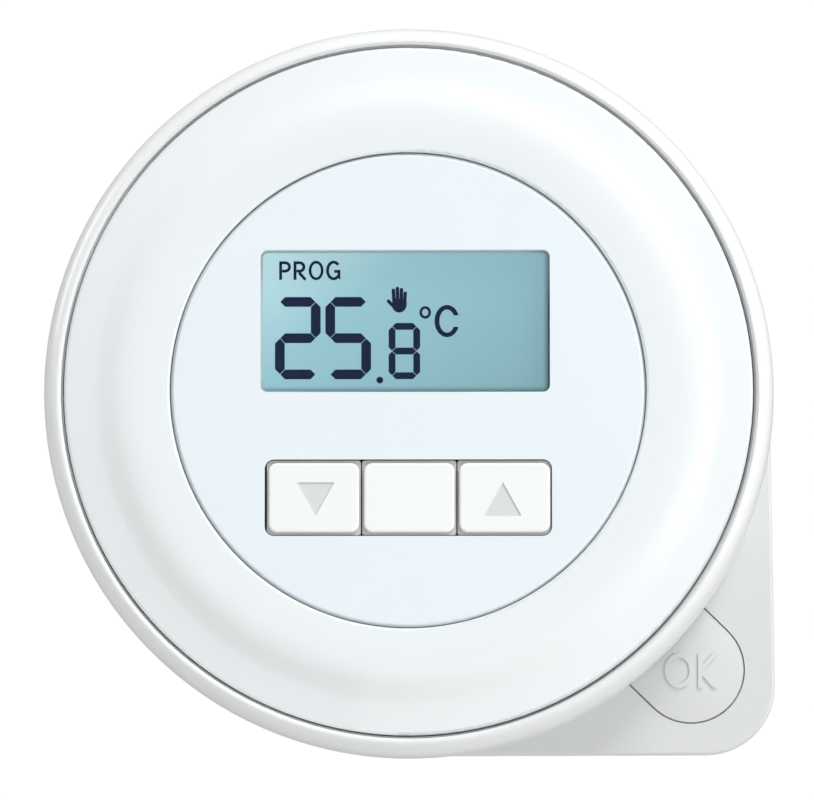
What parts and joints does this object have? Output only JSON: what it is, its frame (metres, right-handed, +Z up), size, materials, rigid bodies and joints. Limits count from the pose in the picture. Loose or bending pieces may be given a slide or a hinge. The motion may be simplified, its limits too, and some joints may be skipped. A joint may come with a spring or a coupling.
{
  "type": "wall thermostat",
  "caption": "Round wall thermostat with a turning ring around a display and keys, and a confirm key in a square lower corner.",
  "frame": {"origin": "centre of the round body on the wall plane, which is the rear face of the wall plate", "axes": "+Z up, front faces -Y, +X to the viewer's right; +Y points into the wall"},
  "size_m": [0.0862, 0.0264, 0.086],
  "materials": {
    "shell_white": "satin moulded ABS",
    "rim_white": "semi-gloss moulded ABS",
    "ring_white": "high-gloss moulded ABS, faintly green-white",
    "face_white": "fine satin, faintly blue-white",
    "key_white": "satin",
    "lens_clear": "clear polished acrylic",
    "display_teal": "lit teal liquid crystal glass",
    "diffuser_white": "translucent white",
    "frame_white": "matte white, reflective inside",
    "carrier_dark": "dark grey glass-filled plastic",
    "board_green": "solder mask",
    "steel": "zinc plated",
    "brass": "bare",
    "acetal": "natural acetal",
    "switch_black": "moulded",
    "plunger_grey": "moulded",
    "terminal_grey": "polyamide",
    "relay_black": "moulded",
    "film_yellow": "moulded box",
    "can_sleeve": "shrink sleeve",
    "fuse_brown": "moulded",
    "varistor_blue": "epoxy dipped",
    "chip_black": "moulded epoxy",
    "led_white": "silicone and ceramic"
  },
  "bodies": {
    "housing": {"wall_plate": "shell_white", "power_board": "board_green", "power_board_screws": "steel", "terminal_block": "terminal_grey", "terminal_screws": "steel", "relay": "relay_black", "film_capacitor": "film_yellow", "electrolytic_capacitor": "can_sleeve", "fuse": "fuse_brown", "varistor": "varistor_blue", "header_socket": "switch_black", "header_pins": "brass", "base_housing": "shell_white", "outer_rim": "rim_white", "encoder_body": "switch_black", "control_board": "board_green", "control_board_screws": "steel", "microcontroller": "chip_black", "temperature_sensor": "chip_black", "key_switches": "switch_black", "ok_switch": "switch_black", "backlight_leds": "led_white", "display_frame": "frame_white", "light_guide": "diffuser_white", "display_glass": "display_teal", "display_pins": "steel", "display_lens": "lens_clear", "display_carrier": "carrier_dark", "carrier_screws": "steel", "face_plate": "face_white", "ok_hinge_pin": "steel"},
    "dial": {"setting_ring": "ring_white", "ring_gear": "acetal"},
    "encoder_rotor": {"drive_pinion": "acetal", "encoder_shaft": "steel"},
    "down_button": {"down_key": "key_white", "down_plunger": "plunger_grey"},
    "mode_button": {"mode_key": "key_white", "mode_plunger": "plunger_grey"},
    "up_button": {"up_key": "key_white", "up_plunger": "plunger_grey"},
    "ok_button": {"ok_key": "shell_white"},
    "ok_contact": {"ok_plunger": "plunger_grey"}
  },
  "joints": [
    {"name": "ring_turn", "type": "hinge", "parent": "housing", "child": "dial", "pos_m": [0, -0.0235, 0], "axis": [0, 1, 0], "continuous": true},
    {"name": "encoder_turn", "type": "hinge", "parent": "housing", "child": "encoder_rotor", "pos_m": [0, -0.0175, -0.033], "axis": [0, 1, 0], "continuous": true},
    {"name": "down_press", "type": "slide", "parent": "housing", "child": "down_button", "axis": [0, 1, 0], "range_m": [0, 0.0005], "stiffness_N_per_m": 3000},
    {"name": "mode_press", "type": "slide", "parent": "housing", "child": "mode_button", "axis": [0, 1, 0], "range_m": [0, 0.0005], "stiffness_N_per_m": 3000},
    {"name": "up_press", "type": "slide", "parent": "housing", "child": "up_button", "axis": [0, 1, 0], "range_m": [0, 0.0005], "stiffness_N_per_m": 3000},
    {"name": "ok_press", "type": "hinge", "parent": "housing", "child": "ok_button", "pos_m": [0.02662, -0.0141, -0.02598], "axis": [0.6984, 0, 0.7157], "range_deg": [0, 3], "stiffness_Nm_per_rad": 0.35},
    {"name": "ok_contact_press", "type": "slide", "parent": "housing", "child": "ok_contact", "axis": [0, 1, 0], "range_m": [0, 0.00045]}
  ],
  "couplings": [
    {"joint": "encoder_turn", "follows": "ring_turn", "ratio": 7.6},
    {"joint": "ok_contact_press", "follows": "ok_press", "m_per_rad": 0.0082}
  ]
}
